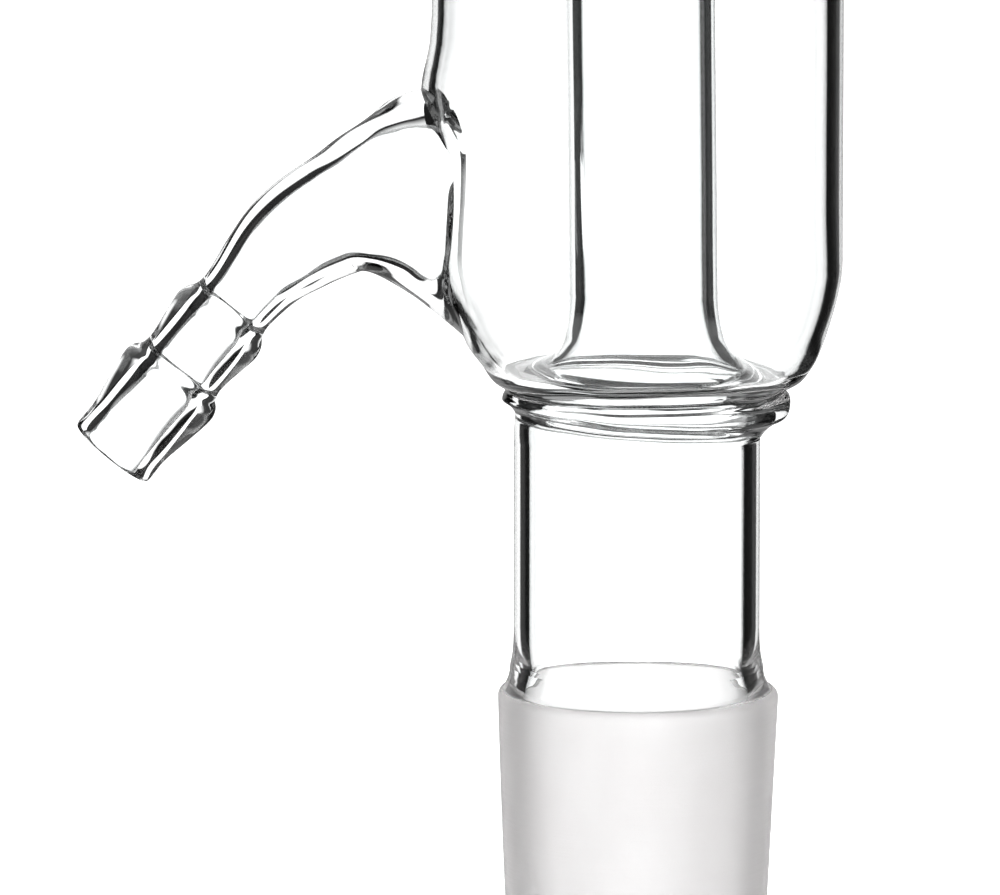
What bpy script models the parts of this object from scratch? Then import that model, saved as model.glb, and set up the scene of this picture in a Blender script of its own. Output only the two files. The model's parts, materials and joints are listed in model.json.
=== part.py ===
"""Liebig condenser with standard-taper 24/40 joints: a water jacket ring-sealed round a straight
condenser tube, with a ground cone below, a ground socket above and a barbed hose arm at each end
of the jacket.

Frame: the origin is on the tube's axis, at the gauge plane of the lower ground cone, which is the
large end of its taper. +Z runs up the tube to the socket, and the water inlet arm points to -X.

Lengths are in millimetres here, and object_from scales each finished mesh to metres. The real
condenser is one fused body. Each piece of tube, joint or weld that it is made from is its own
solid, and SEAM is the gap that stands for the fused seam between two of them.
"""

import math

import bmesh
import bpy
from mathutils import Matrix, Vector

MM = 0.001
SEAM = 0.3

# Joints: 24 mm at the large end and 40 mm long, with a taper of 1 in 10 on the diameter
JOINT_R = 12.0
JOINT_LENGTH = 40.0
JOINT_SMALL_R = JOINT_R - JOINT_LENGTH / 20.0

# Jacket, condenser tube and necks
JACKET_R, JACKET_WALL = 17.35, 1.2
TUBE_R, TUBE_WALL = 6.15, 1.0
NECK_R, NECK_WALL = 10.45, 1.2
JACKET_BOTTOM = 26.7
JACKET_MIDDLE = 127.0

# Ring seals: a trumpet on the tube's end, and the bead where it, the jacket and a neck are welded
SEAL_TOP = JACKET_BOTTOM - SEAM
SEAL_BOTTOM = 22.0
SEAL_BEAD_R = 12.4
LIP_R = 10.6
TRUMPET_TOP = 34.5

# Ends: the cone's collar, the drip tip and the socket
CONE_COLLAR_TOP = 2.4
CONE_WALL = 1.5
DRIP_R, DRIP_WALL = 5.6, 1.2
DRIP_TIP_MIDDLE = -55.0
SOCKET_BOTTOM = 2.0 * JACKET_MIDDLE - SEAL_BOTTOM + 18.0
SOCKET_TOP = SOCKET_BOTTOM + JOINT_LENGTH + 3.0
SOCKET_WALL = 2.0
RIM_BEAD_R = 15.4

# Hose arms: a straight barbed end, a bend, and a root at the jacket wall
BARB_ANGLE = math.radians(50.8)
ROOT_ANGLE = math.radians(24.0)
ARM_TIP = (-44.5, 20.7)
BARB_LENGTH = 19.5
BEND_R = 20.0
ARM_END = 27.6

# Footprint of an arm's weld on the jacket: a teardrop, drawn out towards the jacket's end
WELD_MIDDLE = 44.0
WELD_HALF_WIDTH = 7.9
WELD_RISE = 7.8
WELD_DROP = 13.2
WELD_WALL = 1.6

ROUND_STEPS = 36
TUBE_STEPS = 24
ARM_STEPS = 18

SMOOTH_ANGLE = math.radians(35.0)


def clear_scene():
    for obj in list(bpy.data.objects):
        bpy.data.objects.remove(obj, do_unlink=True)


def glass(name, colour, roughness):
    """A clear or ground borosilicate glass."""
    material = bpy.data.materials.new(name)
    material.use_nodes = True
    shader = material.node_tree.nodes["Principled BSDF"]
    shader.inputs["Base Color"].default_value = (*colour, 1.0)
    shader.inputs["Roughness"].default_value = roughness
    shader.inputs["Metallic"].default_value = 0.0
    shader.inputs["IOR"].default_value = 1.474
    shader.inputs["Transmission Weight"].default_value = 1.0
    return material


def object_from(bm, name, material):
    """A shaded object from a bmesh in millimetres."""
    bmesh.ops.remove_doubles(bm, verts=bm.verts, dist=1e-5)
    bmesh.ops.recalc_face_normals(bm, faces=bm.faces)
    bmesh.ops.scale(bm, vec=(MM, MM, MM), verts=bm.verts)
    mesh = bpy.data.meshes.new(name)
    bm.to_mesh(mesh)
    bm.free()
    mesh.shade_smooth()
    mesh.set_sharp_from_angle(angle=SMOOTH_ANGLE)
    mesh.materials.append(material)
    obj = bpy.data.objects.new(name, mesh)
    bpy.context.scene.collection.objects.link(obj)
    return obj


def revolve(name, outline, steps, material, shear=None):
    """A turned solid from a closed outline of (radius, z). shear moves points after the turn."""
    bm = bmesh.new()
    verts = [bm.verts.new((radius, 0.0, z)) for radius, z in outline]
    edges = [bm.edges.new((verts[i - 1], verts[i])) for i in range(len(verts))]
    bmesh.ops.spin(
        bm,
        geom=verts + edges,
        cent=(0.0, 0.0, 0.0),
        axis=(0.0, 0.0, 1.0),
        angle=math.tau,
        steps=steps,
        use_merge=True,
    )
    if shear:
        for vert in bm.verts:
            shear(vert)
    return object_from(bm, name, material)


def loft(name, loops, material):
    """A closed tube-like solid: each loop is bridged to the next, and the last to the first."""
    bm = bmesh.new()
    rings = [[bm.verts.new(point) for point in loop] for loop in loops]
    for ring, following in zip(rings, rings[1:] + rings[:1]):
        count = len(ring)
        for i in range(count):
            after = (i + 1) % count
            bm.faces.new((ring[i], ring[after], following[after], following[i]))
    return object_from(bm, name, material)


def turned_over(obj, name):
    """The same piece at the other end: obj turned half round about the jacket's middle, along Y."""
    copy = bpy.data.objects.new(name, obj.data)
    middle = Vector((0.0, 0.0, JACKET_MIDDLE * MM))
    half_turn = Matrix.Rotation(math.pi, 4, "Y")
    copy.matrix_world = Matrix.Translation(middle) @ half_turn @ Matrix.Translation(-middle)
    bpy.context.scene.collection.objects.link(copy)
    return copy


def arc(centre_r, centre_z, radius, start, end, steps):
    """Points (radius, z) along a round corner, with angles in degrees from the outward direction."""
    turns = [math.radians(start + (end - start) * i / steps) for i in range(steps + 1)]
    return [(centre_r + radius * math.cos(t), centre_z + radius * math.sin(t)) for t in turns]


def other_end(points):
    """Points (radius, z) mirrored to the jacket's other end, in reverse order."""
    return [(radius, 2.0 * JACKET_MIDDLE - z) for radius, z in reversed(points)]


# Jacket


def jacket_outside():
    """The lower end of the jacket's outer surface: lip, round corner, shoulder, cylinder."""
    corner = arc(13.6, 29.3, 2.0, -80.0, -15.0, 4)
    return [(LIP_R + 1.3, JACKET_BOTTOM), *corner, (15.8, 30.4), (JACKET_R, 35.4)]


def jacket_inside():
    corner = arc(12.8, 29.8, 1.5, -75.0, -15.0, 3)
    return [(LIP_R, JACKET_BOTTOM), (LIP_R, 27.8), *corner, (14.5, 30.9), (JACKET_R - JACKET_WALL, 35.9)]


def jacket_radius(z):
    """The jacket's outer radius at a height between its corner and its middle."""
    points = jacket_outside()[-3:]
    for (low_r, low_z), (high_r, high_z) in zip(points, points[1:]):
        if z < high_z:
            share = max(z - low_z, 0.0) / (high_z - low_z)
            return low_r + share * (high_r - low_r)
    return JACKET_R


def on_jacket(y, z, depth):
    """The point at (y, z) on the jacket's inlet side, depth under its outer surface."""
    radius = jacket_radius(z) - depth
    return Vector((-math.sqrt(radius * radius - y * y), y, z))


def weld_outline(turn, inset):
    """(y, z) of a weld's footprint at an angle from its top, drawn in by inset."""
    reach = WELD_RISE if math.cos(turn) > 0.0 else WELD_DROP
    y = (WELD_HALF_WIDTH - inset) * math.sin(turn)
    z = WELD_MIDDLE + (reach - inset) * math.cos(turn)
    return y, z


def turns_round(steps):
    return [math.tau * i / steps for i in range(steps)]


def weld_cutter():
    """The prism that opens the jacket wall under the inlet arm."""
    bm = bmesh.new()
    outline = [weld_outline(turn, 0.0) for turn in turns_round(ARM_STEPS * 2)]
    face = bm.faces.new([bm.verts.new((-25.0, y, z)) for y, z in outline])
    grown = bmesh.ops.extrude_face_region(bm, geom=[face])["geom"]
    moved = [part for part in grown if isinstance(part, bmesh.types.BMVert)]
    bmesh.ops.translate(bm, verts=moved, vec=(20.0, 0.0, 0.0))
    return object_from(bm, "inlet_cutter", CLEAR)


def make_jacket():
    outside = jacket_outside()
    inside = jacket_inside()
    outline = outside + other_end(outside) + list(reversed(inside + other_end(inside)))
    jacket = revolve("water_jacket", outline, ROUND_STEPS, CLEAR)
    cutter = weld_cutter()
    for tool in (cutter, turned_over(cutter, "outlet_cutter")):
        tool.hide_render = True
        tool.display_type = "WIRE"
        hole = jacket.modifiers.new(tool.name, "BOOLEAN")
        hole.operation = "DIFFERENCE"
        hole.solver = "EXACT"
        hole.object = tool


# Condenser tube and its seals


def make_condenser_tube():
    bottom = TRUMPET_TOP + SEAM
    top = 2.0 * JACKET_MIDDLE - bottom
    bore = TUBE_R - TUBE_WALL
    outline = [(TUBE_R, bottom), (TUBE_R, top), (bore, top), (bore, bottom)]
    revolve("condenser_tube", outline, TUBE_STEPS, CLEAR)


def make_ring_seals():
    """A trumpet that opens downwards from the tube, and the bead and short wall under it."""
    rim = LIP_R - SEAM
    trumpet = arc(rim, 32.4, rim - TUBE_R, 195.0, 262.0, 6)
    bead = arc(SEAL_BEAD_R - 0.9, 25.1, 0.9, 45.0, -45.0, 3)
    outside = [(TUBE_R, TRUMPET_TOP), *trumpet, (rim, SEAL_TOP), (11.75, SEAL_TOP), *bead]
    outside += [(11.1, 23.2), (NECK_R, SEAL_BOTTOM)]
    bore = TUBE_R - TUBE_WALL
    neck_bore = NECK_R - NECK_WALL
    inside = [(neck_bore, SEAL_BOTTOM), (neck_bore, 24.6), (8.9, JACKET_BOTTOM)]
    inside += arc(9.0, 31.0, 9.0 - bore, 255.0, 190.0, 5)
    inside.append((bore, TRUMPET_TOP))
    lower = revolve("lower_ring_seal", outside + inside, ROUND_STEPS, CLEAR)
    turned_over(lower, "upper_ring_seal")


# Necks, cone, drip tip and socket


def neck_outline(bottom, top, foot_r):
    bore = NECK_R - NECK_WALL
    foot_bore = foot_r - NECK_WALL
    outside = [(foot_r, bottom), (NECK_R, bottom + 1.4), (NECK_R, top)]
    return outside + [(bore, top), (bore, bottom + 1.4), (foot_bore, bottom)]


def make_necks():
    lower = neck_outline(CONE_COLLAR_TOP + SEAM, SEAL_BOTTOM - SEAM, NECK_R + 0.3)
    revolve("lower_neck", lower, ROUND_STEPS, CLEAR)
    top = SOCKET_BOTTOM - SEAM
    bottom = 2.0 * JACKET_MIDDLE - SEAL_BOTTOM + SEAM
    upper = neck_outline(bottom, top, NECK_R)
    revolve("upper_neck", upper, ROUND_STEPS, CLEAR)


def make_ground_cone():
    """The 24/40 cone: a rounded collar at the gauge plane, then the ground taper."""
    collar = arc(JOINT_R - 0.5, -0.1, 0.55, 80.0, 0.0, 3)
    outside = [(NECK_R + 0.35, CONE_COLLAR_TOP), (10.95, 0.9), *collar, (JOINT_R, -0.6)]
    outside.append((JOINT_SMALL_R, -JOINT_LENGTH))
    inside = [
        (JOINT_SMALL_R - CONE_WALL, -JOINT_LENGTH),
        (JOINT_R - CONE_WALL - 0.2, -2.0),
        (NECK_R + 0.35 - NECK_WALL, CONE_COLLAR_TOP),
    ]
    revolve("ground_cone", outside + inside, ROUND_STEPS, GROUND)


def make_drip_tip():
    """The round-shouldered outlet below the cone, cut off on a slant."""
    top = -JOINT_LENGTH - SEAM
    shoulder_r = JOINT_SMALL_R - 0.2
    outside = arc(shoulder_r - 3.4, top - 0.4, 3.4, 0.0, -75.0, 4)
    outside = [(shoulder_r, top), *outside, (DRIP_R, top - 4.6), (DRIP_R, DRIP_TIP_MIDDLE)]
    bore = DRIP_R - DRIP_WALL
    inside = arc(shoulder_r - 3.4, top - 0.4, 3.4 - 1.4, -75.0, 0.0, 3)
    inside = [(bore, DRIP_TIP_MIDDLE), (bore, top - 3.6), *inside, (shoulder_r - 1.4, top)]

    def slant(vert):
        if vert.co.z < DRIP_TIP_MIDDLE + 0.1:
            vert.co.z += 0.9 * vert.co.x

    revolve("drip_tip", outside + inside, TUBE_STEPS, CLEAR, shear=slant)


def make_ground_socket():
    """The 24/40 socket: the ground taper is its bore, and a round bead stiffens its mouth."""
    gauge = SOCKET_TOP
    foot = gauge - JOINT_LENGTH
    bead = arc(RIM_BEAD_R - 1.3, gauge - 1.5, 1.3, -60.0, 70.0, 5)
    outside = [
        (NECK_R, SOCKET_BOTTOM),
        (JOINT_SMALL_R + SOCKET_WALL, foot + 1.0),
        (JOINT_R + SOCKET_WALL - 0.2, gauge - 3.4),
        *bead,
        (RIM_BEAD_R - 1.3, gauge),
    ]
    inside = [
        (JOINT_R + 0.4, gauge),
        (JOINT_R, gauge - 0.5),
        (JOINT_SMALL_R, foot),
        (NECK_R - NECK_WALL, SOCKET_BOTTOM),
    ]
    revolve("ground_socket", outside + inside, ROUND_STEPS, GROUND)


# Hose arms


def arm_centre(distance):
    """Centre and direction of the inlet arm's axis at a distance from its tip."""
    turned = min(max(distance - BARB_LENGTH, 0.0) / BEND_R, BARB_ANGLE - ROOT_ANGLE)
    past_bend = max(distance - BARB_LENGTH - BEND_R * (BARB_ANGLE - ROOT_ANGLE), 0.0)
    straight = min(distance, BARB_LENGTH)
    angle = BARB_ANGLE - turned
    x = ARM_TIP[0] + straight * math.cos(BARB_ANGLE) + past_bend * math.cos(ROOT_ANGLE)
    z = ARM_TIP[1] + straight * math.sin(BARB_ANGLE) + past_bend * math.sin(ROOT_ANGLE)
    x += BEND_R * (math.sin(BARB_ANGLE) - math.sin(angle))
    z += BEND_R * (math.cos(angle) - math.cos(BARB_ANGLE))
    return Vector((x, 0.0, z)), Vector((math.cos(angle), 0.0, math.sin(angle)))


def arm_ring(distance, radius):
    """A ring of points round the arm's axis, starting on its upper side."""
    centre, forward = arm_centre(distance)
    up = Vector((-forward.z, 0.0, forward.x))
    side = Vector((0.0, 1.0, 0.0))
    turns = turns_round(ARM_STEPS)
    return [centre + radius * (math.cos(t) * up + math.sin(t) * side) for t in turns]


# Outer radius at each distance from the tip: a mouth, two barbs, a waist, then the wider bend
ARM_OUTSIDE = (
    (0.0, 3.6),
    (0.6, 3.85),
    (2.3, 3.85),
    (5.1, 4.4),
    (7.6, 4.7),
    (8.3, 4.65),
    (9.5, 3.85),
    (10.6, 3.85),
    (14.2, 4.3),
    (15.1, 4.2),
    (16.5, 3.45),
    (17.4, 3.5),
    (20.6, 4.0),
    (23.5, 4.75),
    (ARM_END, 5.1),
)
ARM_INSIDE = ((ARM_END, 3.6), (23.0, 3.1), (19.5, 2.4), (16.5, 2.2), (2.5, 2.3), (0.0, 2.6))


def make_hose_arms():
    outer = [arm_ring(distance, radius) for distance, radius in ARM_OUTSIDE]
    inner = [arm_ring(distance, radius) for distance, radius in ARM_INSIDE]
    inlet = loft("inlet_hose_arm", outer + inner, CLEAR)
    turned_over(inlet, "outlet_hose_arm")


def weld_side(ring, inset, depth, pull, flare):
    """Loops from an arm's ring to its footprint. Each curve leaves the ring opened out by flare,
    and lands square to the jacket wall at the top, along it at the bottom. pull is how far the
    two ends hold their directions."""
    centre, forward = arm_centre(ARM_END + SEAM)
    middle = on_jacket(0.0, WELD_MIDDLE, depth)
    loops = []
    for share in (0.0, 0.3, 0.55, 0.8, 1.0):
        loop = []
        for turn, start in zip(turns_round(ARM_STEPS), ring):
            end = on_jacket(*weld_outline(turn, inset), depth)
            leaving = (forward + flare * (start - centre).normalized()).normalized()
            along_wall = (middle - end).normalized()
            off_wall = Vector((end.x, end.y, 0.0)).normalized()
            hug = 0.6 - 0.4 * math.cos(turn)
            landing = (hug * along_wall + (1.0 - hug) * off_wall).normalized()
            reach = pull * (end - start).length
            leave = start + reach * leaving
            land = end + reach * landing
            near, far = start.lerp(leave, share), land.lerp(end, share)
            across = leave.lerp(land, share)
            loop.append(near.lerp(across, share).lerp(across.lerp(far, share), share))
        loops.append(loop)
    return loops


def make_weld_collars():
    """The thick glass where an arm's root spreads into the jacket wall and fills its opening."""
    outer_ring = arm_ring(ARM_END + SEAM, ARM_OUTSIDE[-1][1])
    inner_ring = arm_ring(ARM_END + SEAM, ARM_INSIDE[0][1])
    outer = weld_side(outer_ring, SEAM, 0.0, 0.38, 0.3)
    inner = weld_side(inner_ring, SEAM + WELD_WALL, JACKET_WALL, 0.3, 0.0)
    edge = [on_jacket(*weld_outline(t, SEAM), JACKET_WALL) for t in turns_round(ARM_STEPS)]
    inlet = loft("inlet_weld_collar", outer + [edge] + list(reversed(inner)), CLEAR)
    turned_over(inlet, "outlet_weld_collar")


clear_scene()
CLEAR = glass("clear_glass", (0.93, 0.95, 0.95), 0.03)
GROUND = glass("ground_glass", (0.86, 0.86, 0.86), 0.55)
make_jacket()
make_condenser_tube()
make_ring_seals()
make_necks()
make_ground_cone()
make_drip_tip()
make_ground_socket()
make_hose_arms()
make_weld_collars()
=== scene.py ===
"""The looks of a clear glass liebig condenser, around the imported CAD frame.

The real condenser is one fused body, so each glass piece here meets the next exactly. Where two
pieces are fused, both have a weld face: it closes the mesh, and light passes it unbent. Lengths
are in millimetres until finished_piece() scales a mesh to metres, and z is 0 at the gauge plane
of the lower ground cone.
"""

import json
import math

import bmesh
import bpy
import numpy as np
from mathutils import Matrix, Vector, noise


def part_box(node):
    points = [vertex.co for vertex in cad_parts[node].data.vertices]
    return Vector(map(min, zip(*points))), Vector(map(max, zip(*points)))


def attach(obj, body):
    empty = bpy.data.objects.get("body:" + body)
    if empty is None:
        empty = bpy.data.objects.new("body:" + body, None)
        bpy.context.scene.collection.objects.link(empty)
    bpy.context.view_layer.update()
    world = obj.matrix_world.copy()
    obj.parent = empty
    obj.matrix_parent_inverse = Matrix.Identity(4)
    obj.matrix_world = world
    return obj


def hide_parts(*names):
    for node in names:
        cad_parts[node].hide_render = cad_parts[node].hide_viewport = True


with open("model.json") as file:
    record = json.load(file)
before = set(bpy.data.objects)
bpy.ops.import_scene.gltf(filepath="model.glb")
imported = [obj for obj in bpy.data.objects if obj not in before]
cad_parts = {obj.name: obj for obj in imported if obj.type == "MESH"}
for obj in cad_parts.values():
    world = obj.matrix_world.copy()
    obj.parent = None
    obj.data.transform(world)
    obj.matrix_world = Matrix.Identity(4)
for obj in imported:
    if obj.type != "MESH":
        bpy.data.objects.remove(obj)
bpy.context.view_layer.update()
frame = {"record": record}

MM = 0.001


# Sizes and places from the frame


def box_mm(node):
    low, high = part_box(node)
    return Vector(low) / MM, Vector(high) / MM


def seam_between(lower, upper):
    """The height halfway between the top of one node and the bottom of the next."""
    return 0.5 * (box_mm(lower)[1].z + box_mm(upper)[0].z)


MOUNTS = {mount["name"]: mount for mount in frame["record"]["mounts"]}

# The tube stands a little wider than its node, so that its dark edges have their real width
TUBE_FULLER = 0.15

JACKET_MIDDLE = 0.5 * (box_mm("water_jacket")[0].z + box_mm("water_jacket")[1].z)
JACKET_R = box_mm("water_jacket")[1].y
TUBE_R = box_mm("condenser_tube")[1].x + TUBE_FULLER
NECK_R = box_mm("upper_neck")[1].x
CONE_R = box_mm("ground_cone")[1].x
TUBE_BOTTOM = seam_between("lower_ring_seal", "condenser_tube")
NECK_TOP = seam_between("lower_neck", "lower_ring_seal")
CONE_TOP = seam_between("ground_cone", "lower_neck")
CONE_BOTTOM = seam_between("drip_tip", "ground_cone")
UPPER_NECK_BOTTOM = seam_between("upper_ring_seal", "upper_neck")
SOCKET_BOTTOM = seam_between("upper_neck", "ground_socket")
SOCKET_TOP = box_mm("ground_socket")[1].z
RIM_R = box_mm("ground_socket")[1].x

JACKET_WALL = 1.18
TUBE_WALL = 1.3
NECK_WALL = 1.3
CONE_WALL = 1.6
# How far the jacket's bore is off centre, as drawn tubing is never quite even
BORE_SHIFT = 0.13
TAPER = 1.0 / 20.0

LATHE_STEPS = 144
CLEAR, WELD, GROUND = 0, 1, 2


# Curves


def through(points, per_span):
    """A smooth curve through points, with per_span steps from each point to the next."""
    ends = [2 * points[0] - points[1], *points, 2 * points[-1] - points[-2]]
    curve = []
    for i in range(1, len(ends) - 2):
        before, start, end, after = ends[i - 1 : i + 3]
        knots = [0.0]
        for a, b in ((before, start), (start, end), (end, after)):
            knots.append(knots[-1] + max((b - a).length, 1e-6) ** 0.5)
        for step in range(per_span):
            t = knots[1] + (knots[2] - knots[1]) * step / per_span
            curve.append(barry_goldman((before, start, end, after), knots, t))
    return curve + [points[-1].copy()]


def barry_goldman(points, knots, t):
    """The point at t on a centripetal Catmull-Rom curve."""
    level = list(points)
    for width in (1, 2):
        level = [
            level[i].lerp(level[i + 1], (t - knots[i]) / (knots[i + width] - knots[i]))
            for i in range(len(level) - 1)
        ]
    share = (t - knots[1]) / (knots[2] - knots[1])
    return level[0].lerp(level[1], share)


def smooth(pairs, per_span=4):
    return through([Vector(pair) for pair in pairs], per_span)


def straight(start, end, step=2.0):
    start, end = Vector(start), Vector(end)
    count = max(1, round((end - start).length / step))
    return [start.lerp(end, i / count) for i in range(count + 1)]


def corner(centre_r, centre_z, radius, start, end, steps=8):
    """Points (radius, z) along a round corner, with angles in degrees from the outward direction."""
    centre = Vector((centre_r, centre_z))
    turns = [math.radians(start + (end - start) * i / steps) for i in range(steps + 1)]
    return [centre + radius * Vector((math.cos(t), math.sin(t))) for t in turns]


def ease(value, start, end):
    """0 before start, 1 after end, and a smooth step between. start may be above end."""
    share = min(max((value - start) / (end - start), 0.0), 1.0)
    return share * share * (3.0 - 2.0 * share)


# Hand-made irregularity


# Without a seed, the lumps would differ from run to run
LUMP_SEED = 6
noise.seed_set(LUMP_SEED)


def lumps(point, size, height):
    """Soft waves left by the flame, about size across and height high."""
    return height * Vector(noise.noise_vector(point / size))


LEAN = 0.56
SHOULDER_FLAT = 1.25
SHOULDER_SLANT = 0.7
DRAWN_OUT = 0.9
BEAD_TILT = 0.06


def bump_at(z, middle, spread):
    """A smooth bump along the height: 1 at the middle, and near 0 past twice the spread."""
    return math.exp(-(((z - middle) / spread) ** 2))


def pushed(x, y, z):
    """How far the flame and the tools moved the glass at the inlet end, from its turned shape: the
    tube leans, the shoulder under the arm is flat, the jacket is drawn out over the arm, and the
    ring seal's bead is tilted. Each acts between the radii and heights that its factors name."""
    radius = math.hypot(x, y)
    facing = max(-x / max(radius, 0.1), 0.0)
    lean = LEAN * bump_at(z, 30.0, 36.0) * ease(z, 22.3, 24.6) * ease(radius, 15.0, 12.0)
    flattened = SHOULDER_FLAT * ease(z, 37.0, 30.5) + SHOULDER_SLANT * ease(z, 30.5, 28.0)
    flattened *= facing**4 * ease(radius, 11.0, 15.5) * ease(radius, 24.0, 18.0)
    drawn_out = DRAWN_OUT * ease(facing, 0.7, 0.98) * bump_at(z, 51.7, 3.2)
    drawn_out *= ease(radius, 11.0, 15.0) * ease(radius, 24.0, 19.0)
    bead_tilt = -BEAD_TILT * x * ease(z, 22.0, 23.2) * ease(z, 25.6, 24.6) * ease(radius, 15.0, 13.5)
    return Vector((lean + flattened - drawn_out, 0.0, bead_tilt))


def warped(point):
    """The place of a point on the real, hand-made glass. The outlet end matches the inlet end, and
    soft waves cover the ring seals and the arms' welds."""
    turned = point.z > JACKET_MIDDLE
    near = half_turn(point) if turned else point
    moved = near + pushed(*near)
    radius = math.hypot(near.x, near.y)
    worked = ease(near.z, 21.9, 24.5) * ease(near.z, 31.5, 28.5)
    arm = ease(radius, 17.2, 19.5) * ease(radius, 28.0, 24.0)
    ripple = lumps(point, 4.5, 0.12 * worked) + lumps(point, 4.2, 0.3 * arm)
    return (half_turn(moved) if turned else moved) + ripple


# Meshes


class Shell:
    """The corners and faces of one glass piece. A face's finish is CLEAR, WELD or GROUND."""

    def __init__(self):
        self.points = []
        self.faces = []
        self.finishes = []

    def ring(self, points):
        first = len(self.points)
        self.points.extend(points)
        return list(range(first, len(self.points)))

    def face(self, corners, finish):
        self.faces.append(corners)
        self.finishes.append(finish)

    def strip(self, ring, following, finish=CLEAR):
        """Faces from one closed ring to the next."""
        count = len(ring)
        for i in range(count):
            after = (i + 1) % count
            self.face((ring[i], ring[after], following[after], following[i]), finish)

    def add_turned_over(self):
        """The same faces at the other end, half a turn about Y through the jacket's middle."""
        count = len(self.points)
        self.points += [half_turn(point) for point in self.points]
        self.faces += [tuple(i + count for i in face) for face in self.faces]
        self.finishes += self.finishes[:]


def half_turn(point):
    return Vector((-point.x, point.y, 2.0 * JACKET_MIDDLE - point.z))


def finished_piece(name, node, slot, shell, turned=False):
    """Makes a shell into a piece that stands for a node. turned puts it at the other end."""
    bm = bmesh.new()
    points = [half_turn(point) for point in shell.points] if turned else shell.points
    verts = [bm.verts.new(MM * warped(point)) for point in points]
    for corners, finish in zip(shell.faces, shell.finishes):
        bm.faces.new([verts[i] for i in corners]).material_index = finish
    bmesh.ops.remove_doubles(bm, verts=bm.verts, dist=1e-7)
    bmesh.ops.recalc_face_normals(bm, faces=bm.faces)
    for face in bm.faces:
        face.smooth = True
    for edge in bm.edges:
        welds = [face.material_index == WELD for face in edge.link_faces]
        edge.smooth = len(set(welds)) == 1
    mesh = bpy.data.meshes.new(name)
    bm.to_mesh(mesh)
    bm.free()
    for material in FINISHES[slot]:
        mesh.materials.append(material)
    piece = bpy.data.objects.new(name, mesh)
    bpy.context.scene.collection.objects.link(piece)
    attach(piece, "root")
    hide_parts(node)
    return piece


def turned_profile(shell, profile):
    """Rings of a profile turned round the axis."""
    turns = [math.tau * i / LATHE_STEPS for i in range(LATHE_STEPS)]
    rings = []
    for r, z in profile:
        rings.append(shell.ring([Vector((r * math.cos(t), r * math.sin(t), z)) for t in turns]))
    return rings


def lathe(runs):
    """A turned shell from a closed outline: runs of (profile, finish) that meet end to end."""
    shell = Shell()
    rings = []
    finishes = []
    for profile, finish in runs:
        rings += turned_profile(shell, profile[:-1])
        finishes += [finish] * (len(profile) - 1)
    for i, finish in enumerate(finishes):
        shell.strip(rings[i], rings[(i + 1) % len(rings)], finish)
    return shell


# Materials


def add(tree, kind, **settings):
    """A shader node. An input is set by its name, with _ for a space, or by _ and its number. A
    value that is a socket is linked."""
    made = tree.nodes.new(kind)
    for name, value in settings.items():
        if hasattr(made, name):
            setattr(made, name, value)
            continue
        key = int(name[1:]) if name[1:].isdigit() else name.replace("_", " ")
        socket = made.inputs[key]
        if isinstance(value, bpy.types.NodeSocket):
            tree.links.new(value, socket)
        else:
            socket.default_value = value
    return made


def empty_material(name):
    material = bpy.data.materials.new(name)
    material.use_nodes = True
    material.node_tree.nodes.clear()
    return material, material.node_tree


def output(tree, shader):
    add(tree, "ShaderNodeOutputMaterial", Surface=shader)


def waves(tree, scale, detail=2.0):
    """A noise pattern in the object's space, scale across each axis per metre."""
    place = add(tree, "ShaderNodeTexCoord").outputs["Object"]
    stretched = add(tree, "ShaderNodeMapping", Vector=place, Scale=scale).outputs["Vector"]
    return add(tree, "ShaderNodeTexNoise", Vector=stretched, Scale=1.0, Detail=detail).outputs["Fac"]


def maths(tree, operation, *values):
    inputs = {f"_{i}": value for i, value in enumerate(values)}
    return add(tree, "ShaderNodeMath", operation=operation, **inputs).outputs["Value"]


def ranged(tree, value, low, high, start=0.35, end=0.65):
    """low to high as the value goes from start to end. A noise pattern lies mostly in 0.35 to 0.65."""
    return add(
        tree, "ShaderNodeMapRange", Value=value, From_Min=start, From_Max=end, To_Min=low, To_Max=high
    ).outputs["Result"]


def ramp(tree, value, *stops):
    """A colour by value, from stops of (place, colour)."""
    made = add(tree, "ShaderNodeValToRGB", Fac=value)
    elements = made.color_ramp.elements
    while len(elements) < len(stops):
        elements.new(1.0)
    for element, (place, colour) in zip(elements, stops):
        element.position = place
        element.color = (*colour, 1.0)
    return made.outputs["Color"]


GLASS_IOR = 1.474


def clear_glass(name, scale, bump_height, tint):
    """Clear borosilicate glass, with faint waves in its surface and tint."""
    material, tree = empty_material(name)
    pattern = waves(tree, scale)
    bump = add(tree, "ShaderNodeBump", Height=pattern, Strength=1.0, Distance=bump_height)
    shader = add(
        tree,
        "ShaderNodeBsdfPrincipled",
        Base_Color=ramp(tree, pattern, (0.35, tint), (0.65, (0.99, 0.995, 0.995))),
        Roughness=ranged(tree, waves(tree, (90.0, 90.0, 40.0)), 0.0, 0.012),
        Normal=bump.outputs["Normal"],
        IOR=GLASS_IOR,
        Transmission_Weight=1.0,
    )
    output(tree, shader.outputs["BSDF"])
    return material


def weld_face():
    """The inside of a fused joint, where light passes without bending."""
    material, tree = empty_material("fused_joint")
    output(tree, add(tree, "ShaderNodeBsdfTransparent").outputs["BSDF"])
    return material


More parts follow.
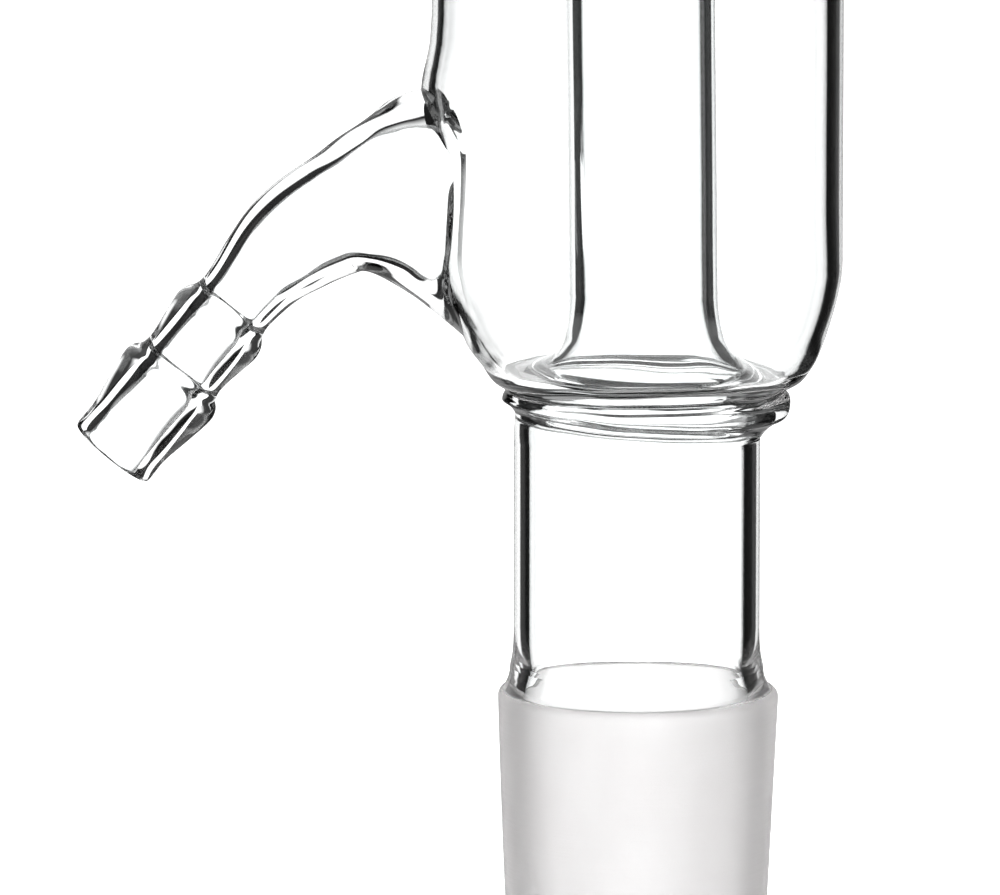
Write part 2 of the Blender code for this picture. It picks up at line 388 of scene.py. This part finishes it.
def ground_glass():
    """The frosted taper: finely ground round the axis, and a little uneven."""
    material, tree = empty_material("ground_taper")
    grain = waves(tree, (9000.0, 9000.0, 9000.0), 3.0)
    rings = waves(tree, (120.0, 120.0, 5200.0), 3.0)
    cloud = waves(tree, (160.0, 160.0, 90.0), 2.0)
    height = maths(tree, "ADD", grain, rings)
    bump = add(tree, "ShaderNodeBump", Height=height, Strength=0.5, Distance=0.00003)
    shader = add(
        tree,
        "ShaderNodeBsdfPrincipled",
        Base_Color=ramp(tree, cloud, (0.35, (0.86, 0.84, 0.84)), (0.65, (0.91, 0.895, 0.895))),
        Roughness=ranged(tree, rings, 0.58, 0.68),
        Normal=bump.outputs["Normal"],
        IOR=GLASS_IOR,
        Transmission_Weight=0.8,
    )
    output(tree, shader.outputs["BSDF"])
    return material


DRAWN = clear_glass("drawn_glass", (700.0, 700.0, 18.0), 0.000002, (0.975, 0.985, 0.985))
WORKED = clear_glass("worked_glass", (260.0, 260.0, 200.0), 0.00001, (0.965, 0.98, 0.98))
FUSED = weld_face()
FROSTED = ground_glass()
FINISHES = {
    "drawn_glass": (DRAWN, FUSED, FROSTED),
    "worked_glass": (WORKED, FUSED, FROSTED),
    "ground_glass": (WORKED, FUSED, FROSTED),
}


# The jacket's wall, and the weld where an arm joins it

STRAIGHT_FROM = 38.0
# Matching places on the outer and inner surface, from the ring seal round the corner to the tube
JACKET_END = (
    ((11.85, 26.15), (11.0, 27.88)),
    ((12.15, 26.5), (11.6, 27.9)),
    ((12.9, 26.8), (12.35, 27.95)),
    ((13.75, 27.2), (13.05, 28.17)),
    ((14.55, 27.95), (13.72, 28.68)),
    ((15.2, 28.95), (14.23, 29.47)),
    ((15.8, 30.4), (14.77, 30.78)),
    ((16.45, 32.4), (15.39, 32.73)),
    ((16.98, 34.4), (15.87, 34.64)),
    ((JACKET_R - 0.08, 36.0), (JACKET_R - JACKET_WALL - 0.05, 36.15)),
    ((JACKET_R, 37.2), (JACKET_R - JACKET_WALL, 37.3)),
    ((JACKET_R, STRAIGHT_FROM), (JACKET_R - JACKET_WALL, STRAIGHT_FROM)),
)
# The rows of faces are fine below this height, where the arm joins
FINE_TOP = 56.0

# The teardrop where the arm's glass meets the jacket's: (half width, rise, drop) from the middle,
# on the outer surface and, as the glass is thick there, smaller on the inner surface
WELD_MIDDLE = 44.0
FOOTPRINTS = ((7.9, 7.8, 13.2), (5.9, 5.1, 11.4))


def jacket_rows():
    """(outer, inner) points of (radius, z) up the lower half of the jacket."""
    outer = smooth([pair[0] for pair in JACKET_END])
    inner = smooth([pair[1] for pair in JACKET_END])
    rows = list(zip(outer, inner))
    for start, end, step in ((STRAIGHT_FROM, FINE_TOP, 0.6), (FINE_TOP, JACKET_MIDDLE, 2.0)):
        for point in straight((JACKET_R, start), (JACKET_R, end), step)[1:]:
            rows.append((point, Vector((JACKET_R - JACKET_WALL, point.y))))
    return rows


ROWS = jacket_rows()
ROW_HEIGHTS = [outer.y for outer, inner in ROWS]


def wall_at(turn, z):
    """The outer and inner points of the jacket's wall at a turn from -X and an outer height. The
    bore is centred at the corner and at the jacket's middle, and off centre between them."""
    place = np.interp(z, ROW_HEIGHTS, range(len(ROWS)))
    row = min(int(place), len(ROWS) - 2)
    share = place - row
    points = []
    for side, shift in ((0, 0.0), (1, -BORE_SHIFT)):
        radius, height = ROWS[row][side].lerp(ROWS[row + 1][side], share)
        shift *= ease(height, 32.0, 42.0) * ease(height, JACKET_MIDDLE, FINE_TOP)
        points.append(Vector((shift - radius * math.cos(turn), radius * math.sin(turn), height)))
    return points


def outer_radius(z):
    return float(np.interp(z, ROW_HEIGHTS, [outer.x for outer, inner in ROWS]))


# The patch of wall round the weld: its half width in columns, and its lowest and highest row
PATCH_COLUMNS = 15
PATCH_LOW = next(i for i, z in enumerate(ROW_HEIGHTS) if z > 28.0)
PATCH_HIGH = next(i for i, z in enumerate(ROW_HEIGHTS) if z > 54.0)
PATCH_RINGS = 7
COLUMN = math.tau / LATHE_STEPS


def patch_border():
    """(column, row) round the edge of the patch about the weld, from the top centre to +Y."""
    wide, low, high = PATCH_COLUMNS, PATCH_LOW, PATCH_HIGH
    border = [(column, high) for column in range(0, wide)]
    border += [(wide, row) for row in range(high, low, -1)]
    border += [(column, low) for column in range(wide, -wide, -1)]
    border += [(-wide, row) for row in range(low, high)]
    border += [(column, high) for column in range(-wide, 0)]
    return border


BORDER = patch_border()


def weld_turn(column, row):
    """The angle on the weld's footprint, from its top, that faces a place on the patch's edge."""
    half_width, rise, drop = FOOTPRINTS[0]
    z = ROW_HEIGHTS[row]
    reach = rise if z > WELD_MIDDLE else drop
    y = outer_radius(z) * math.sin(column * COLUMN)
    return math.atan2(y / half_width, (z - WELD_MIDDLE) / reach)


WELD_TURNS = [weld_turn(column, row) for column, row in BORDER]


def footprint(turn, side):
    """(turn from -X, height) of a point on the outer or inner footprint."""
    half_width, rise, drop = FOOTPRINTS[side]
    reach = rise if math.cos(turn) > 0.0 else drop
    z = WELD_MIDDLE + reach * math.cos(turn)
    return math.asin(half_width * math.sin(turn) / outer_radius(z)), z


def weld_loop(side):
    """The footprint's loop on the jacket's outer or inner surface."""
    return [wall_at(*footprint(turn, side))[side] for turn in WELD_TURNS]


def make_jacket():
    shell = Shell()
    sides = []
    for side in (0, 1):
        rings = []
        for z in ROW_HEIGHTS:
            turns = [COLUMN * j for j in range(LATHE_STEPS)]
            rings.append(shell.ring([wall_at(turn, z)[side] for turn in turns]))
        for row, (ring, following) in enumerate(zip(rings, rings[1:])):
            for j in range(LATHE_STEPS):
                column = j if j < LATHE_STEPS // 2 else j - LATHE_STEPS
                in_patch = -PATCH_COLUMNS <= column < PATCH_COLUMNS and PATCH_LOW <= row < PATCH_HIGH
                if not in_patch:
                    after = (j + 1) % LATHE_STEPS
                    shell.face((ring[j], ring[after], following[after], following[j]), CLEAR)
        edge = [rings[row][column % LATHE_STEPS] for column, row in BORDER]
        for i in range(1, PATCH_RINGS + 1):
            share = 1.0 - i / PATCH_RINGS
            points = []
            for turn, (column, row) in zip(WELD_TURNS, BORDER):
                low = Vector(footprint(turn, side))
                high = Vector((column * COLUMN, ROW_HEIGHTS[row]))
                points.append(wall_at(*low.lerp(high, share))[side])
            following = shell.ring(points)
            shell.strip(edge, following)
            edge = following
        sides.append((rings[0], edge))
    (outer_lip, outer_edge), (inner_lip, inner_edge) = sides
    shell.strip(outer_lip, inner_lip, WELD)
    shell.strip(outer_edge, inner_edge, WELD)
    shell.add_turned_over()
    finished_piece("jacket_glass", "water_jacket", "drawn_glass", shell)


# Condenser tube and ring seals


def make_tube():
    bore = TUBE_R - TUBE_WALL
    top = 2.0 * JACKET_MIDDLE - TUBE_BOTTOM
    runs = [
        (straight((TUBE_R, TUBE_BOTTOM), (TUBE_R, top), 1.5), CLEAR),
        (straight((TUBE_R, top), (bore, top)), WELD),
        (straight((bore, top), (bore, TUBE_BOTTOM), 1.5), CLEAR),
        (straight((bore, TUBE_BOTTOM), (TUBE_R, TUBE_BOTTOM)), WELD),
    ]
    finished_piece("tube_glass", "condenser_tube", "drawn_glass", lathe(runs))


TRUMPET_OUTSIDE = (
    (TUBE_R, TUBE_BOTTOM),
    (TUBE_R, TUBE_BOTTOM - 0.5),
    (TUBE_R + 0.03, 33.5),
    (TUBE_R + 0.1, 32.7),
    (TUBE_R + 0.24, 31.8),
    (6.9, 30.5),
    (7.5, 29.5),
    (8.3, 28.85),
    (9.3, 28.4),
    (10.2, 28.1),
    JACKET_END[0][1],
)
BEAD_OUTSIDE = (
    JACKET_END[0][0],
    (12.0, 25.95),
    (12.33, 25.65),
    (12.42, 25.3),
    (12.3, 24.95),
    (11.9, 24.6),
    (11.35, 24.3),
    (10.85, 23.85),
    (10.55, 23.3),
    (NECK_R, 22.7),
    (NECK_R, NECK_TOP),
)
TRUMPET_INSIDE = (
    (NECK_R - NECK_WALL, NECK_TOP),
    (NECK_R - NECK_WALL, 24.0),
    (9.15, 25.6),
    (9.0, 26.6),
    (8.5, 27.55),
    (7.65, 28.2),
    (6.8, 29.0),
    (6.05, 30.1),
    (TUBE_R - TUBE_WALL + 0.4, 31.5),
    (TUBE_R - TUBE_WALL + 0.09, 33.0),
    (TUBE_R - TUBE_WALL, 34.0),
    (TUBE_R - TUBE_WALL, TUBE_BOTTOM),
)


def make_ring_seals():
    runs = [
        (smooth(TRUMPET_OUTSIDE), CLEAR),
        (straight(*JACKET_END[0][::-1], 5.0), WELD),
        (smooth(BEAD_OUTSIDE), CLEAR),
        (straight(BEAD_OUTSIDE[-1], TRUMPET_INSIDE[0], 5.0), WELD),
        (smooth(TRUMPET_INSIDE), CLEAR),
        (straight(TRUMPET_INSIDE[-1], TRUMPET_OUTSIDE[0], 5.0), WELD),
    ]
    shell = lathe(runs)
    finished_piece("lower_seal_glass", "lower_ring_seal", "worked_glass", shell)
    finished_piece("upper_seal_glass", "upper_ring_seal", "worked_glass", shell, turned=True)


# Necks, cone, drip tip and socket


NECK_FOOT = (
    (NECK_R + 0.3, CONE_TOP),
    (NECK_R + 0.13, 3.4),
    (NECK_R + 0.03, 4.5),
    (NECK_R, 5.6),
    (NECK_R, 6.4),
)


def make_necks():
    bore = NECK_R - NECK_WALL
    lower = [
        (smooth(NECK_FOOT), CLEAR),
        (straight(NECK_FOOT[-1], (NECK_R, NECK_TOP), 1.0), CLEAR),
        (straight((NECK_R, NECK_TOP), (bore, NECK_TOP), 5.0), WELD),
        (straight((bore, NECK_TOP), (bore, CONE_TOP), 1.0), CLEAR),
        (straight((bore, CONE_TOP), NECK_FOOT[0], 5.0), WELD),
    ]
    finished_piece("lower_neck_glass", "lower_neck", "drawn_glass", lathe(lower))
    low, high = UPPER_NECK_BOTTOM, SOCKET_BOTTOM
    upper = [
        (straight((NECK_R, low), (NECK_R, high), 1.0), CLEAR),
        (straight((NECK_R, high), (bore, high), 5.0), WELD),
        (straight((bore, high), (bore, low), 1.0), CLEAR),
        (straight((bore, low), (NECK_R, low), 5.0), WELD),
    ]
    finished_piece("upper_neck_glass", "upper_neck", "drawn_glass", lathe(upper))


FROST_MARGIN = 0.8


def make_cone():
    """The collar is left clear, and the taper is ground from the corner under it."""
    bottom_r = CONE_R + TAPER * CONE_BOTTOM
    frost_bottom = CONE_BOTTOM + FROST_MARGIN
    bore = NECK_R - NECK_WALL
    wide_bore = bore + 0.9
    collar = smooth((NECK_FOOT[0], (NECK_R + 0.42, 1.6), (NECK_R + 0.7, 0.95), (11.35, 0.55)))
    frost = corner(CONE_R - 0.65, -0.15, 0.65, 78.0, 0.0)
    collar.append(frost[0])
    frost += straight((CONE_R - 0.01, -0.4), (CONE_R + TAPER * frost_bottom, frost_bottom), 0.5)
    inside = smooth(((bottom_r - CONE_WALL, CONE_BOTTOM), (wide_bore, -8.0), (wide_bore, -3.0)), 12)
    inside += smooth(((wide_bore, -3.0), (bore + 0.6, -0.5), (bore + 0.1, 1.4), (bore, CONE_TOP)))[1:]
    runs = [
        (collar, CLEAR),
        (frost, GROUND),
        (straight(frost[-1], (bottom_r, CONE_BOTTOM)), CLEAR),
        (straight((bottom_r, CONE_BOTTOM), inside[0], 5.0), WELD),
        (inside, CLEAR),
        (straight(inside[-1], collar[0], 5.0), WELD),
    ]
    finished_piece("cone_glass", "ground_cone", "ground_glass", lathe(runs))


DRIP_R = 5.6
DRIP_WALL = 1.2
DRIP_SLANT = 0.9


def make_drip_tip():
    """A round shoulder, then a plain tube cut off on a slant and fire-polished."""
    top_r = CONE_R + TAPER * CONE_BOTTOM
    middle = 1000.0 * MOUNTS["drip_tip_end"]["pos_m"][2]
    shoulder_start = ((top_r, CONE_BOTTOM), (top_r - 0.25, CONE_BOTTOM - 1.3))
    shoulder = smooth((*shoulder_start, (8.3, -43.3), (6.4, -44.5), (DRIP_R, -46.2)))
    inner_end = ((8.0, -42.2), (top_r - CONE_WALL, CONE_BOTTOM))
    inner_shoulder = smooth(((DRIP_R - DRIP_WALL, -46.4), (5.3, -45.2), (7.3, -43.6), *inner_end))
    rim = corner(DRIP_R - 0.5, middle + 0.5, 0.5, 0.0, -90.0, 5)
    rim += corner(DRIP_R - DRIP_WALL + 0.5, middle + 0.5, 0.5, -90.0, -180.0, 5)
    runs = [
        (shoulder, CLEAR),
        (straight(shoulder[-1], rim[0], 1.0), CLEAR),
        (rim, CLEAR),
        (straight(rim[-1], inner_shoulder[0], 1.0), CLEAR),
        (inner_shoulder, CLEAR),
        (straight(inner_shoulder[-1], shoulder[0], 5.0), WELD),
    ]
    shell = lathe(runs)
    for point in shell.points:
        point.z += DRIP_SLANT * point.x * ease(point.z, -47.5, middle + 0.6)
    finished_piece("drip_tip_glass", "drip_tip", "worked_glass", shell)


SOCKET_WALL = 2.0
SOCKET_LENGTH = 40.0
BEAD_R = 1.3


def make_socket():
    """A bead stiffens the mouth, and the taper inside is ground up to just under it."""
    foot = SOCKET_TOP - SOCKET_LENGTH
    mouth = RIM_R - 2.0 * BEAD_R - 0.4
    foot_r = mouth - 2.4
    outside_foot = ((foot_r + 1.6, foot + 0.2), (foot_r + SOCKET_WALL, foot + 2.0))
    outside = smooth(((NECK_R, SOCKET_BOTTOM), (NECK_R + 0.25, foot - 1.6), *outside_foot))
    frost_end = (foot_r + 0.03, foot + 0.6)
    shoulder = (mouth + SOCKET_WALL - 0.5, SOCKET_TOP - 4.2)
    bead = corner(RIM_R - BEAD_R, SOCKET_TOP - BEAD_R, BEAD_R, -60.0, 90.0, 12)
    neck_of_bead = smooth((shoulder, (shoulder[0] + 0.15, shoulder[1] + 1.0), bead[0]))
    lip = corner(mouth + 0.7, SOCKET_TOP - 0.6, 0.6, 90.0, 180.0, 6)
    bore = NECK_R - NECK_WALL
    runs = [
        (outside, CLEAR),
        (straight(outside[-1], shoulder), CLEAR),
        (neck_of_bead, CLEAR),
        (bead, CLEAR),
        (straight(bead[-1], lip[0]), CLEAR),
        (lip, CLEAR),
        (straight(lip[-1], frost_end, 0.5), GROUND),
        (smooth((frost_end, (foot_r - 0.2, foot - 0.6), (bore, SOCKET_BOTTOM))), CLEAR),
        (straight((bore, SOCKET_BOTTOM), (NECK_R, SOCKET_BOTTOM), 5.0), WELD),
    ]
    finished_piece("socket_glass", "ground_socket", "ground_glass", lathe(runs))


# Hose arms and their welds

MOUTH_MIDDLE = 2.9
BARB_LENGTH = 19.5
BEND_R = 20.0
ROOT_ANGLE = math.radians(24.0)
ARM_END = 27.75
HOSE_MOUNT = MOUNTS["inlet_hose_end"]
BARB_ANGLE = math.atan2(-HOSE_MOUNT["axis"][2], -HOSE_MOUNT["axis"][0])
ACROSS_MOUTH = Vector((-math.sin(BARB_ANGLE), 0.0, math.cos(BARB_ANGLE)))
TIP = Vector(HOSE_MOUNT["pos_m"]) / MM - MOUTH_MIDDLE * ACROSS_MOUTH

# Outer and inner radius at each distance from the mouth
ARM_OUTSIDE = (
    (0.0, 3.65),
    (0.08, 3.8),
    (0.3, 3.87),
    (2.3, 3.87),
    (5.1, 4.35),
    (7.2, 4.68),
    (7.9, 4.68),
    (8.5, 4.45),
    (9.0, 4.0),
    (9.6, 3.82),
    (10.6, 3.84),
    (13.4, 4.24),
    (14.3, 4.3),
    (15.1, 4.1),
    (15.9, 3.6),
    (16.6, 3.45),
    (17.6, 3.5),
    (20.6, 4.0),
    (23.5, 4.65),
    (ARM_END, 5.12),
)
ARM_INSIDE = (
    (0.0, 3.65),
    (0.0, 2.9),
    (0.12, 2.66),
    (0.5, 2.52),
    (4.0, 2.38),
    (10.0, 2.3),
    (16.5, 2.2),
    (19.5, 2.4),
    (23.0, 3.1),
    (ARM_END, 3.6),
)


def arm_frame(distance):
    """Centre, direction and upper side of the inlet arm's axis at a distance from its mouth."""
    bend = BARB_ANGLE - ROOT_ANGLE
    turned = min(max(distance - BARB_LENGTH, 0.0) / BEND_R, bend)
    past_bend = max(distance - BARB_LENGTH - BEND_R * bend, 0.0)
    before_bend = min(distance, BARB_LENGTH)
    angle = BARB_ANGLE - turned
    centre = TIP + before_bend * Vector((math.cos(BARB_ANGLE), 0.0, math.sin(BARB_ANGLE)))
    centre += past_bend * Vector((math.cos(ROOT_ANGLE), 0.0, math.sin(ROOT_ANGLE)))
    centre += BEND_R * Vector(
        (math.sin(BARB_ANGLE) - math.sin(angle), 0.0, math.cos(angle) - math.cos(BARB_ANGLE))
    )
    forward = Vector((math.cos(angle), 0.0, math.sin(angle)))
    return centre, forward, Vector((-forward.z, 0.0, forward.x))


def arm_ring(distance, radius):
    centre, forward, up = arm_frame(distance)
    side = Vector((0.0, 1.0, 0.0))
    return [centre + radius * (math.cos(t) * up + math.sin(t) * side) for t in WELD_TURNS]


def make_arms():
    shell = Shell()
    outer = [shell.ring(arm_ring(*place)) for place in reversed(smooth(ARM_OUTSIDE, 5))]
    inner = [shell.ring(arm_ring(*place)) for place in smooth(ARM_INSIDE, 7)[1:]]
    rings = outer + inner
    for ring, following in zip(rings, rings[1:]):
        shell.strip(ring, following)
    shell.strip(rings[-1], rings[0], WELD)
    finished_piece("inlet_arm_glass", "inlet_hose_arm", "worked_glass", shell)
    finished_piece("outlet_arm_glass", "outlet_hose_arm", "worked_glass", shell, turned=True)


COLLAR_ROWS = 24
# How much the arm widens along its way into the weld
ARM_OPENING = 0.11
# Leave, land and hug for the outer and the inner surface
WELD_CURVES = (
    ((0.38, 0.16), (0.38, 0.5), (0.2, 0.5)),
    ((0.35, 0.25), (0.3, 0.3), (0.0, 0.92)),
)


def collar_loops(ring, loop, leave, land, hug):
    """Loops from an arm's ring to the footprint's loop. Each pair holds a value for the top and
    one for the underside: how far a line keeps the arm's direction, how far it keeps its landing
    direction, and how much it lands along the jacket's wall rather than square to it."""
    centre, forward, up = arm_frame(ARM_END)
    middle = sum(loop, Vector()) / len(loop)
    lines = []
    for turn, start, end in zip(WELD_TURNS, ring, loop):
        under = ease(1.0 - math.cos(turn), 0.3, 1.05)
        leave_pull, land_pull, hugging = (a + (b - a) * under for a, b in (leave, land, hug))
        leaving = (forward + ARM_OPENING * (start - centre).normalized()).normalized()
        off_wall = Vector((end.x, end.y, 0.0)).normalized()
        inward = middle - end
        along_wall = (inward - inward.dot(off_wall) * off_wall).normalized()
        landing = (hugging * along_wall + (1.0 - hugging) * off_wall).normalized()
        gap = (end - start).length
        lines.append((start, start + leave_pull * gap * leaving, end + land_pull * gap * landing, end))
    loops = []
    for i in range(COLLAR_ROWS + 1):
        t = i / COLLAR_ROWS
        weights = ((1 - t) ** 3, 3 * t * (1 - t) ** 2, 3 * t * t * (1 - t), t**3)
        loops.append([sum((w * p for w, p in zip(weights, line)), Vector()) for line in lines])
    return loops


def make_collars():
    shell = Shell()
    outer_ring = arm_ring(ARM_END, ARM_OUTSIDE[-1][1])
    inner_ring = arm_ring(ARM_END, ARM_INSIDE[-1][1])
    outer = collar_loops(outer_ring, weld_loop(0), *WELD_CURVES[0])
    inner = collar_loops(inner_ring, weld_loop(1), *WELD_CURVES[1])
    rings = [shell.ring(loop) for loop in outer + inner[::-1]]
    for i, ring in enumerate(rings):
        following = rings[(i + 1) % len(rings)]
        shell.strip(ring, following, WELD if i in (COLLAR_ROWS, len(rings) - 1) else CLEAR)
    finished_piece("inlet_weld_glass", "inlet_weld_collar", "worked_glass", shell)
    finished_piece("outlet_weld_glass", "outlet_weld_collar", "worked_glass", shell, turned=True)


# Studio


BRIGHT = 1.7
SCATTERED = 1.4
GAP = 0.03
DARK = 0.008
FLOOR_DROP = 60.0
FLOOR_HALF = 60.0

# Elevations in degrees
TALL_PANELS = (-50.0, 33.0)
LOW_PANELS = (-30.0, 24.0)
WIDE_PANELS = (-30.0, 12.0)
FAR_GROUND = (-28.5, -12.3)
NEAR_FLOOR = (-52.0, -32.0)
CEILING = (40.0, 60.0)
NADIR = (-72.0, -68.0)
FAR_GROUND_EDGE = 0.6

PANEL_COUNT = 4.0
PANEL_TURN = 4.0

# Light that has crossed more surfaces than this has wandered about in a ring seal
MANY_SURFACES = 6.5
SEAL_LIGHT = 0.9
SEAL_MIRRORED = 0.5
MIRRORED_ONCE = 1.7
MIRRORED_AGAIN = 0.35


def sine(degrees):
    return math.sin(math.radians(degrees))


def band(tree, rise, low, high, soft=4.0):
    """1 between two elevations in degrees, and 0 outside them."""
    above = ranged(tree, rise, 0.0, 1.0, sine(low - soft), sine(low))
    below = ranged(tree, rise, 1.0, 0.0, sine(high), sine(high + soft))
    return maths(tree, "MULTIPLY", above, below)


def make_world():
    """White in the picture. Glass sees four white panels round the object, broad when low and
    narrow when high, with a white ground between them on two sides and dark gaps for the rest.
    What glass mirrors sees taller panels, a soft ceiling and a soft floor."""
    world = bpy.data.worlds.new("studio")
    bpy.context.scene.world = world
    world.use_nodes = True
    tree = world.node_tree
    tree.nodes.clear()
    path = add(tree, "ShaderNodeLightPath").outputs
    direction = add(tree, "ShaderNodeTexCoord").outputs["Generated"]
    across = add(tree, "ShaderNodeSeparateXYZ", Vector=direction).outputs
    rise = across["Z"]
    round_angle = maths(tree, "ARCTAN2", across["Y"], across["X"])
    from_panel = maths(tree, "SUBTRACT", round_angle, math.radians(PANEL_TURN))
    columns = maths(tree, "COSINE", maths(tree, "MULTIPLY", from_panel, PANEL_COUNT))
    narrow = ranged(tree, columns, 0.0, 1.0, 0.1, 0.4)
    wide = ranged(tree, columns, 0.0, 1.0, -0.85, -0.3)
    diagonal = maths(tree, "SINE", maths(tree, "MULTIPLY", round_angle, 2.0))
    two_sides = ranged(tree, diagonal, 1.0, 0.0, -0.34, -0.1)
    tall_panels = maths(tree, "MULTIPLY", band(tree, rise, *TALL_PANELS), narrow)
    low_panels = maths(tree, "MULTIPLY", band(tree, rise, *LOW_PANELS), narrow)
    wide_panels = maths(tree, "MULTIPLY", band(tree, rise, *WIDE_PANELS), wide)
    far_ground = maths(tree, "MULTIPLY", band(tree, rise, *FAR_GROUND, FAR_GROUND_EDGE), two_sides)
    nadir = ranged(tree, rise, 1.0, 0.0, *map(sine, NADIR))
    many = maths(tree, "GREATER_THAN", path["Transmission Depth"], MANY_SURFACES)
    refracted = ranged(tree, many, GAP, SEAL_LIGHT, 0.0, 1.0)
    for patch in (low_panels, wide_panels, far_ground, nadir):
        refracted = maths(tree, "MAXIMUM", refracted, patch)
    near_floor = band(tree, rise, *NEAR_FLOOR)
    ceiling = ranged(tree, rise, 0.0, 0.8, *map(sine, CEILING))
    mirrored = maths(tree, "MAXIMUM", tall_panels, maths(tree, "MAXIMUM", near_floor, ceiling))
    once = maths(tree, "LESS_THAN", path["Glossy Depth"], 1.5)
    inside = maths(tree, "GREATER_THAN", path["Transmission Depth"], 0.5)
    in_wall = maths(tree, "MULTIPLY", once, inside)
    strength = ranged(tree, in_wall, MIRRORED_AGAIN, MIRRORED_ONCE, 0.0, 1.0)
    mirrored = maths(tree, "MULTIPLY", mirrored, strength)
    mirrored = maths(tree, "MAXIMUM", mirrored, maths(tree, "MULTIPLY", many, SEAL_MIRRORED))
    light = maths(tree, "MULTIPLY", refracted, BRIGHT)
    choices = (
        (maths(tree, "GREATER_THAN", path["Glossy Depth"], 0.5), mirrored),
        (maths(tree, "GREATER_THAN", path["Diffuse Depth"], 0.5), SCATTERED),
        (path["Is Camera Ray"], BRIGHT),
    )
    for chosen, other in choices:
        light = add(tree, "ShaderNodeMix", Factor=chosen, _2=light, _3=other).outputs[0]
    light = maths(tree, "MAXIMUM", light, DARK)
    background = add(tree, "ShaderNodeBackground", Color=(1.0, 1.0, 1.0, 1.0), Strength=light)
    add(tree, "ShaderNodeOutputWorld", Surface=background.outputs["Background"])


def make_floor():
    """A plain pale floor. Glass sees the studio's own white ground instead of it."""
    level = MM * (box_mm("drip_tip")[0].z - FLOOR_DROP)
    mesh = bpy.data.meshes.new("floor")
    corners = [(x * FLOOR_HALF, y * FLOOR_HALF, level) for x, y in ((-1, -1), (1, -1), (1, 1), (-1, 1))]
    mesh.from_pydata(corners, [], [(0, 1, 2, 3)])
    floor = bpy.data.objects.new("floor", mesh)
    bpy.context.scene.collection.objects.link(floor)
    material, tree = empty_material("pale_floor")
    output(tree, add(tree, "ShaderNodeEmission", Strength=BRIGHT).outputs["Emission"])
    mesh.materials.append(material)
    floor.visible_transmission = False
    floor.visible_glossy = False
    floor.visible_diffuse = False


CAMERA_TARGET = Vector((-11.6, 0.0, 21.2))
CAMERA_RISE = math.radians(9.2)
CAMERA_DISTANCE = 920.0
FIELD_WIDTH = 84.7


def make_camera():
    data = bpy.data.cameras.new("camera")
    data.sensor_width = 36.0
    data.lens = data.sensor_width * CAMERA_DISTANCE / FIELD_WIDTH
    data.clip_end = 200.0
    camera = bpy.data.objects.new("camera", data)
    back = Vector((0.0, -math.cos(CAMERA_RISE), math.sin(CAMERA_RISE)))
    camera.location = MM * (CAMERA_TARGET + CAMERA_DISTANCE * back)
    camera.rotation_euler = back.to_track_quat("Z", "Y").to_euler()
    bpy.context.scene.collection.objects.link(camera)
    bpy.context.scene.camera = camera


def set_colour_and_bounces():
    scene = bpy.context.scene
    scene.view_settings.view_transform = "Standard"
    scene.cycles.max_bounces = 32
    scene.cycles.transmission_bounces = 32
    scene.cycles.glossy_bounces = 12
    scene.cycles.transparent_max_bounces = 32


make_jacket()
make_tube()
make_ring_seals()
make_necks()
make_cone()
make_drip_tip()
make_socket()
make_arms()
make_collars()
make_world()
make_floor()
make_camera()
set_colour_and_bounces()
